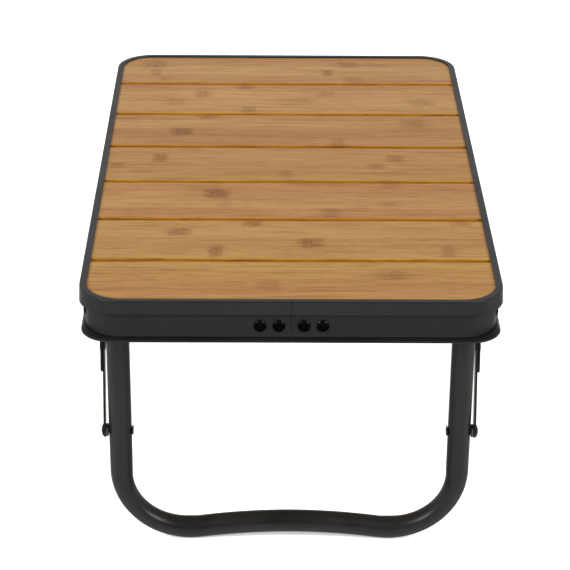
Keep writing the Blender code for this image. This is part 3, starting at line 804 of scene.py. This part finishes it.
def build_slat(number):
    """Slat with its upper edges chamfered along the grooves."""
    node = f"slat_{number}"
    (_, low, bottom), (_, high, top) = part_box(node)
    first = number == 1
    last = number == SLAT_COUNT
    radius = CORNER_RADIUS - PANEL_INSET
    outline = slat_outline(low, high, radius if first else 0, radius if last else 0)
    bm = bmesh.new()
    rings = [[bm.verts.new((x, y, z)) for x, y in outline] for z in (bottom, top)]
    skin(bm, rings)
    grooves = ([] if first else [low]) + ([] if last else [high])

    def groove_edges(levels):
        found = []
        for edge in bm.edges:
            ends = [vert.co for vert in edge.verts]
            for z, shift in levels:
                if all(abs(end.z - z) < 1e-6 for end in ends):
                    if any(all(abs(abs(end.y - y) - shift) < 1e-6 for end in ends) for y in grooves):
                        found.append(edge)
        return found

    sharp = groove_edges([(top, 0)])
    bmesh.ops.bevel(bm, geom=sharp, offset=CHAMFER, segments=1, profile=0.5, affect="EDGES")
    eased = groove_edges([(top, CHAMFER), (top - CHAMFER, 0), (bottom, 0)])
    bmesh.ops.bevel(bm, geom=eased, offset=CHAMFER_EASE, segments=3, profile=0.5, affect="EDGES")
    wood = bamboo_material(number, low, high, top)
    finish_piece(node + "_wood", bm, wood, "tray", [node])


def recess_cutter():
    """Cross-shaped body within a screw's head, narrower at its floor. Its upper end lies under the
    crown, so only the tips of the cross come through the head's surface."""
    bm = bmesh.new()
    floor = SCREW_HEAD[1] * RECESS_FLOOR[0]
    for turn in (0, 90):
        spin = Matrix.Rotation(math.radians(turn), 2)
        rings = []
        for along, share in (RECESS_TOP, (floor, RECESS_FLOOR[1])):
            arm = RECESS_ARM * share
            corners = [(-arm, -RECESS_HALF), (arm, -RECESS_HALF), (arm, RECESS_HALF), (-arm, RECESS_HALF)]
            placed = [spin @ Vector(corner) for corner in corners]
            rings.append([bm.verts.new((along, p.x, p.y)) for p in placed])
        skin(bm, rings)
    bmesh.ops.recalc_face_normals(bm, faces=bm.faces)
    return bm


def carved(bm, cutter):
    """The bmesh less a cutter, both closed."""
    things = []
    for label, source in (("blank", bm), ("cutter", cutter)):
        mesh = bpy.data.meshes.new(label)
        source.to_mesh(mesh)
        source.free()
        thing = bpy.data.objects.new(label, mesh)
        bpy.context.scene.collection.objects.link(thing)
        things.append(thing)
    cut = things[0].modifiers.new("cut", "BOOLEAN")
    cut.operation = "DIFFERENCE"
    cut.solver = "EXACT"
    cut.use_self = True
    cut.object = things[1]
    seen = things[0].evaluated_get(bpy.context.evaluated_depsgraph_get())
    made = bmesh.new()
    made.from_mesh(seen.to_mesh())
    seen.to_mesh_clear()
    for thing in things:
        bpy.data.objects.remove(thing, do_unlink=True)
    return made


def build_splice(end_name, end):
    """Splice plate behind the web, and the screws through it."""
    node = f"{end_name}_splice_plate"
    half = SPLICE_LENGTH / 2
    tall = SPLICE_HEIGHT / 2
    corners = ((-half, -tall), (half, -tall), (half, tall), (-half, tall))
    outline = rounded([corner + (SPLICE_ROUND,) for corner in corners])
    holes = [circle((x, 0), SCREW_SHANK + GAP) for x in SCREW_PLACES]
    bar = plate(outline, holes, 0, SPLICE_THICKNESS)
    y = end * (LENGTH / 2 - WEB_INSET - WALL - GAP)
    place = Matrix.Translation((0, y, SPLICE_Z)) @ Matrix.Rotation(math.radians(-90 * end), 4, "Z")
    finish_piece(node + "_bar", bar, HARDWARE, "tray", [node], place)
    shank = [(0.0, SCREW_SHANK), (SCREW_POINT - SCREW_LENGTH, SCREW_SHANK),
             (-SCREW_LENGTH, SCREW_SHANK - SCREW_POINT), (-SCREW_LENGTH, 0.0)]
    outwards = Matrix.Rotation(math.radians(90 * end), 4, "Z")
    for index, x in enumerate(SCREW_PLACES):
        node = f"{end_name}_splice_screw_{index + 1}"
        blank = turned(domed(0, SCREW_HEAD, rim=0.30, steps=8) + shank)
        screw = carved(blank, recess_cutter())
        spin = Matrix.Rotation(math.radians(SCREW_TURNS[0] + SCREW_TURNS[1] * index), 4, "X")
        place = Matrix.Translation((x, end * (LENGTH / 2 - WEB_INSET + GAP), SPLICE_Z)) @ outwards @ spin
        finish_piece(node + "_pan_head", screw, SCREWS, "tray", [node], place)


# ---------------------------------------------------------------- legs and stays

def leg_line(bend_steps=26, over_steps=5, arch_steps=10):
    """Centre line of a leg as (x, z, outward x, outward z), from the right end to the left one.
    Each bend turns a little past level, into the arch between them."""
    reach = STILE_X - BEND_RADIUS
    over = 2 * math.degrees(math.atan(ARCH_RISE / reach))
    arch_radius = reach / math.sin(math.radians(over)) - BEND_RADIUS
    bend_middle = TUBE_RADIUS + BEND_RADIUS
    arch_middle = TUBE_RADIUS + ARCH_RISE - arch_radius
    right = [(STILE_X, TUBE_TOP, 1.0, 0.0)]
    turns = [-90 * step / bend_steps for step in range(bend_steps + 1)]
    turns += [-90 - over * step / over_steps for step in range(1, over_steps + 1)]
    for turn in turns:
        out = (math.cos(math.radians(turn)), math.sin(math.radians(turn)))
        right.append((reach + BEND_RADIUS * out[0], bend_middle + BEND_RADIUS * out[1]) + out)
    for step in range(1, arch_steps + 1):
        turn = math.radians(90 - over + over * step / arch_steps)
        out = (-math.cos(turn), -math.sin(turn))
        right.append((-arch_radius * out[0], arch_middle - arch_radius * out[1]) + out)
    left = [(-x, z, -out_x, out_z) for x, z, out_x, out_z in reversed(right[:-1])]
    return right + left


def tube_wall(bm, line, radius, ease, y, sides=48):
    """Rings of one surface of a leg's tube, eased at both ends and flattened inside its bends."""
    first, last = line[0], line[-1]
    stations = [(first, radius - ease, 0.0), (first, radius, -TUBE_RIM)]
    stations += [(station, radius, 0.0) for station in line[1:-1]]
    stations += [(last, radius, -TUBE_RIM), (last, radius - ease, 0.0)]
    rings = []
    for (x, z, out_x, out_z), size, rise in stations:
        inner = 1 - 2 * BEND_FLATTENING * abs(out_x * out_z)
        ring = []
        for out, beside in circle((0, 0), size, sides):
            out = out * inner if out < 0 else out
            ring.append(bm.verts.new((x + out * out_x, y + beside, z + rise + out * out_z)))
        rings.append(ring)
    return rings


def plug_profile():
    """Plug in the tube's upper end, from its low crown to its underside."""
    crown = arc((0.0, TUBE_BORE - 2 * PLUG_CROWN), PLUG_CROWN, 0, 90, 4)
    rim = [(0.0, TUBE_BORE - 0.0001), (0.0004 - PLUG_DEPTH, TUBE_BORE - 0.0002)]
    return [(PLUG_CROWN, 0.0)] + crown + rim + [(-PLUG_DEPTH, TUBE_BORE - 0.0006), (-PLUG_DEPTH, 0.0)]


def build_leg(end_name, end):
    """Bent tube with an open rim at each upper end, and a plug in each."""
    bm = bmesh.new()
    line = leg_line()
    walls = [tube_wall(bm, line, radius, ease, end * PIVOT_Y)
             for radius, ease in ((TUBE_RADIUS, TUBE_RIM), (TUBE_BORE, -TUBE_RIM))]
    for rings in walls:
        for first, second in zip(rings, rings[1:]):
            bridge(bm, first, second)
    bridge(bm, walls[0][0], walls[1][0])
    bridge(bm, walls[0][-1], walls[1][-1])
    node = f"{end_name}_leg"
    finish_piece(node + "_tube", bm, LEG_COAT, node, [node])
    upright = Matrix.Rotation(math.radians(-90), 4, "Y")
    for side_name, side in SIDES.items():
        place = Matrix.Translation((side * STILE_X, end * PIVOT_Y, TUBE_TOP)) @ upright
        plug = turned(plug_profile())
        finish_piece(f"{end_name}_{side_name}_tube_plug", plug, NYLON, node, (), place)


def hinge_plate(hand):
    """Plate with its front part joggled inwards. hand is the direction along Y to the table's middle."""
    half = PLATE_HEIGHT / 2
    ahead, behind = PLATE_ROUNDS
    corners = [(-PLATE_AHEAD, -half, ahead), (PLATE_BEHIND, -half, behind),
               (PLATE_BEHIND, half, behind), (-PLATE_AHEAD, half, ahead)]
    through = [(PIVOT_SHANK, PIVOT_Y, 0.0), (STUD_SHANK, ANCHOR_Y, 0.0),
               (PLATE_RIVET_SHANK, PLATE_RIVET_Y, PLATE_RIVET_SPREAD),
               (PLATE_RIVET_SHANK, PLATE_RIVET_Y, -PLATE_RIVET_SPREAD)]
    holes = [circle((PIVOT_Y - y, z), radius + GAP) for radius, y, z in through]
    bm = plate(rounded(corners, steps=8), holes, PLATE_X, PLATE_X + PLATE_THICKNESS)
    for step in range(JOGGLE_STEPS + 1):
        y = JOGGLE_START + JOGGLE_LENGTH * step / JOGGLE_STEPS
        cut = bm.verts[:] + bm.edges[:] + bm.faces[:]
        bmesh.ops.bisect_plane(bm, geom=cut, plane_co=(0, y, 0), plane_no=(0, 1, 0))
    for vert in bm.verts:
        share = min(1.0, max(0.0, (JOGGLE_START + JOGGLE_LENGTH - vert.co.y) / JOGGLE_LENGTH))
        vert.co.x -= PLATE_JOGGLE * share * share * (3 - 2 * share)
        vert.co.y *= hand
    return bm


def riveted(face, head, shank, back, tail, rim=HEAD_RIM, eased=TAIL_EASE, between=()):
    """Profile of a rivet or pin: a domed head standing on one face, a shank, and a flat head behind
    the other face. Points for a shoulder may come in between."""
    stem = [(face, shank)] + list(between) + [(back, shank)]
    return domed(face, head, rim) + stem + flat_head(back, tail, eased)


def build_hinge(end_name, end, side_name, side):
    """Hinge plate with its rivets, leg pivot pin and stay stud at one corner of the table."""
    corner = f"{end_name}_{side_name}"
    facing = Matrix.Rotation(0 if side > 0 else math.pi, 4, "Z")

    def add(name, bm, y, z, nodes=()):
        place = Matrix.Translation((0, y, z)) @ facing
        finish_piece(f"{corner}_{name}", bm, HARDWARE, "tray", nodes, place)

    plate_at = (end * PIVOT_Y, PIVOT_Z)
    add("hinge_plate_bracket", hinge_plate(-end * side), *plate_at, [f"{corner}_hinge_plate"])

    outer = PLATE_X - PLATE_JOGGLE - GAP
    slim = PIVOT_SHOULDER - SHOULDER_EASE
    shoulder = [(outer, PIVOT_SHANK), (outer, slim), (outer - SHOULDER_EASE, PIVOT_SHOULDER),
                (SPACER_X + SHOULDER_EASE, PIVOT_SHOULDER), (SPACER_X, slim), (SPACER_X, PIVOT_SHANK)]
    pin = riveted(WEB_OUTER_X, PIVOT_HEAD, PIVOT_SHANK, STILE_INNER, PIVOT_TAIL, between=shoulder)
    add("leg_pivot_pin_rivet", turned(pin), *plate_at, [f"{corner}_leg_pivot_pin"])

    back = PLATE_X - GAP
    stud = riveted(WEB_OUTER_X, STUD_HEAD, STUD_SHANK, back, (STUD_SHOULDER, back - STUD_END_X))
    add("stay_stud_rivet", turned(stud), end * ANCHOR_Y, PIVOT_Z, [f"{corner}_stay_stud"])

    for level, sign in (("upper", 1), ("lower", -1)):
        rivet = riveted(WEB_OUTER_X, PLATE_RIVET_HEAD, PLATE_RIVET_SHANK, back, PLATE_RIVET_TAIL)
        height = PIVOT_Z + sign * PLATE_RIVET_SPREAD
        add(f"{level}_plate_rivet", turned(rivet, 32), end * PLATE_RIVET_Y, height)


def build_stay(end_name, end, side_name, side):
    """Lower bar on the stile, and the slotted upper bar that slides along it, with their rivets."""
    corner = f"{end_name}_{side_name}"
    lower = f"{corner}_lower_stay"
    upper = f"{corner}_upper_stay"
    leg = f"{end_name}_leg"
    facing = Matrix.Rotation(0 if side > 0 else math.pi, 4, "Z")
    turn = facing @ Matrix.Rotation(side * end * STAY_ANGLE, 4, "X")
    lower_at = Matrix.Translation((0, end * PIVOT_Y, STAY_Z)) @ turn
    upper_at = Matrix.Translation((0, end * ANCHOR_Y, PIVOT_Z)) @ turn

    hole = STAY_SHANK + GAP
    holes = [circle((0, 0), hole), circle((0, GUIDE_REACH), GUIDE_SHANK + GAP)]
    outline = round_bar(0, GUIDE_REACH, BAR_RADIUS)
    bar = plate(outline, holes, LOWER_BAR_X, LOWER_BAR_X + BAR_THICKNESS)
    finish_piece(lower + "_bar", bar, HARDWARE, lower, [lower], lower_at)

    slot_half = GUIDE_SHANK + 1.5 * GAP
    slot = round_bar(GUIDE_REACH - STAY_OPEN, GUIDE_REACH - STAY_FOLDED, slot_half)
    holes = [circle((0, 0), ANCHOR_SHANK + GAP), slot]
    outline = round_bar(-UPPER_BAR_LENGTH, 0, BAR_RADIUS)
    bar = plate(outline, holes, UPPER_BAR_X, UPPER_BAR_X + BAR_THICKNESS)
    finish_piece(upper + "_bar", bar, HARDWARE, upper, [upper], upper_at)

    def add(name, ending, profile, body, place):
        node = f"{corner}_{name}"
        finish_piece(node + ending, turned(profile), HARDWARE, body, [node], place)

    pivot = riveted(UPPER_BAR_X, STAY_HEAD, STAY_SHANK, STILE_INNER, STAY_TAIL, eased=0.0005)
    add("stay_pivot_rivet", "_head", pivot, leg, lower_at)

    node = f"{corner}_stay_spacer"
    spacer_end = SPACER_X + SPACER_THICKNESS
    ring = rounded([(SPACER_X, hole, 0.0002), (SPACER_X, SPACER_RADIUS, 0.0004),
                    (spacer_end, SPACER_RADIUS, 0.0004), (spacer_end, hole, 0.0002)], steps=3)
    spacer = turned(ring, closed=True)
    finish_piece(node + "_ring", spacer, NYLON, leg, [node], lower_at)

    guide = riveted(BAR_OUTER_X, GUIDE_HEAD, GUIDE_SHANK, LOWER_BAR_X - GAP, GUIDE_TAIL, 0.5, 0.0002)
    add("guide_rivet", "_head", guide, lower, lower_at @ Matrix.Translation((0, 0, GUIDE_REACH)))

    anchor = riveted(BAR_OUTER_X, ANCHOR_HEAD, ANCHOR_SHANK, UPPER_BAR_X - GAP, ANCHOR_HEAD, rim=0.4)
    add("anchor_rivet", "_head", anchor, upper, upper_at)


# ---------------------------------------------------------------- studio

def build_floor():
    """Pale floor that glows a little, so that it stays as white as the room behind it."""
    bm = bmesh.new()
    corners = ((-1, -1), (1, -1), (1, 1), (-1, 1))
    bm.faces.new([bm.verts.new((x * FLOOR_HALF, y * FLOOR_HALF, 0)) for x, y in corners])
    mesh = bpy.data.meshes.new("floor")
    bm.to_mesh(mesh)
    bm.free()
    floor = bpy.data.objects.new("floor", mesh)
    bpy.context.scene.collection.objects.link(floor)
    g = Graph("pale_floor")
    soft = g.noise(g.place, scale=3.0, detail=2.0)
    g.set(Base_Color=g.mix(soft, grey(0.88), grey(0.90)), Roughness=0.85, Emission_Strength=0.36)
    g.set(**{"Specular IOR Level": 0.1, "Emission Color": (1.0, 1.0, 1.0, 1.0)})
    mesh.materials.append(g.material)


def add_softbox(name, side):
    """Soft far light in front of the table, on one side of it."""
    data = bpy.data.lights.new(name, "SUN")
    data.energy = SOFTBOX_STRENGTH
    data.angle = math.radians(SOFTBOX_SPREAD)
    light = bpy.data.objects.new(name, data)
    beside = math.radians(SOFTBOX_SIDE) * side
    above = math.radians(SOFTBOX_RISE)
    level = math.cos(above)
    towards = Vector((math.sin(beside) * level, -math.cos(beside) * level, math.sin(above)))
    light.rotation_euler = towards.to_track_quat("Z", "Y").to_euler()
    bpy.context.scene.collection.objects.link(light)


def build_studio():
    """White room, darker on its front side and overhead, with a softbox on either side in front."""
    world = bpy.data.worlds.new("studio")
    bpy.context.scene.world = world
    world.use_nodes = True
    tree = world.node_tree
    place = tree.nodes.new("ShaderNodeTexCoord")
    apart = tree.nodes.new("ShaderNodeSeparateXYZ")
    tree.links.new(place.outputs["Generated"], apart.inputs[0])
    shades = []
    for axis, limits in ROOM:
        shade = tree.nodes.new("ShaderNodeMapRange")
        shade.interpolation_type = "SMOOTHSTEP"
        tree.links.new(apart.outputs[axis], shade.inputs[0])
        for socket, value in zip(shade.inputs[1:5], limits):
            socket.default_value = value
        shades.append(shade)
    both = tree.nodes.new("ShaderNodeMath")
    both.operation = "MULTIPLY"
    for socket, shade in zip(both.inputs, shades):
        tree.links.new(shade.outputs[0], socket)
    backdrop = tree.nodes["Background"]
    tree.links.new(both.outputs[0], backdrop.inputs["Strength"])
    backdrop.inputs["Color"].default_value = (1.0, 1.0, 1.0, 1.0)
    for side_name, side in SIDES.items():
        add_softbox(f"softbox_{side_name}", side)
    bpy.context.scene.view_settings.view_transform = "Standard"
    bpy.context.scene.view_settings.look = "None"


def build_camera():
    """Long lens in front of the table, looking down on it."""
    data = bpy.data.cameras.new("camera")
    data.sensor_width = 36.0
    data.lens = CAMERA_LENS
    camera = bpy.data.objects.new("camera", data)
    down = math.cos(CAMERA_PITCH)
    ahead = Vector((math.sin(CAMERA_YAW) * down, math.cos(CAMERA_YAW) * down, -math.sin(CAMERA_PITCH)))
    level = Vector((math.cos(CAMERA_YAW), -math.sin(CAMERA_YAW), 0))
    right = Matrix.Rotation(-CAMERA_ROLL, 3, ahead) @ level
    up = right.cross(ahead)
    turn = Matrix((right, up, -ahead)).transposed().to_4x4()
    camera.matrix_world = Matrix.Translation(CAMERA_PLACE) @ turn
    data.clip_start = 0.05
    data.clip_end = 50.0
    bpy.context.scene.collection.objects.link(camera)
    bpy.context.scene.camera = camera


for side_name, side in SIDES.items():
    build_frame(side_name, side)
for number in range(1, SLAT_COUNT + 1):
    build_slat(number)
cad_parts["backing_board"].material_slots[0].material = VENEER
for end_name, end in ENDS.items():
    build_splice(end_name, end)
    build_leg(end_name, end)
    for side_name, side in SIDES.items():
        build_hinge(end_name, end, side_name, side)
        build_stay(end_name, end, side_name, side)
build_floor()
build_studio()
build_camera()
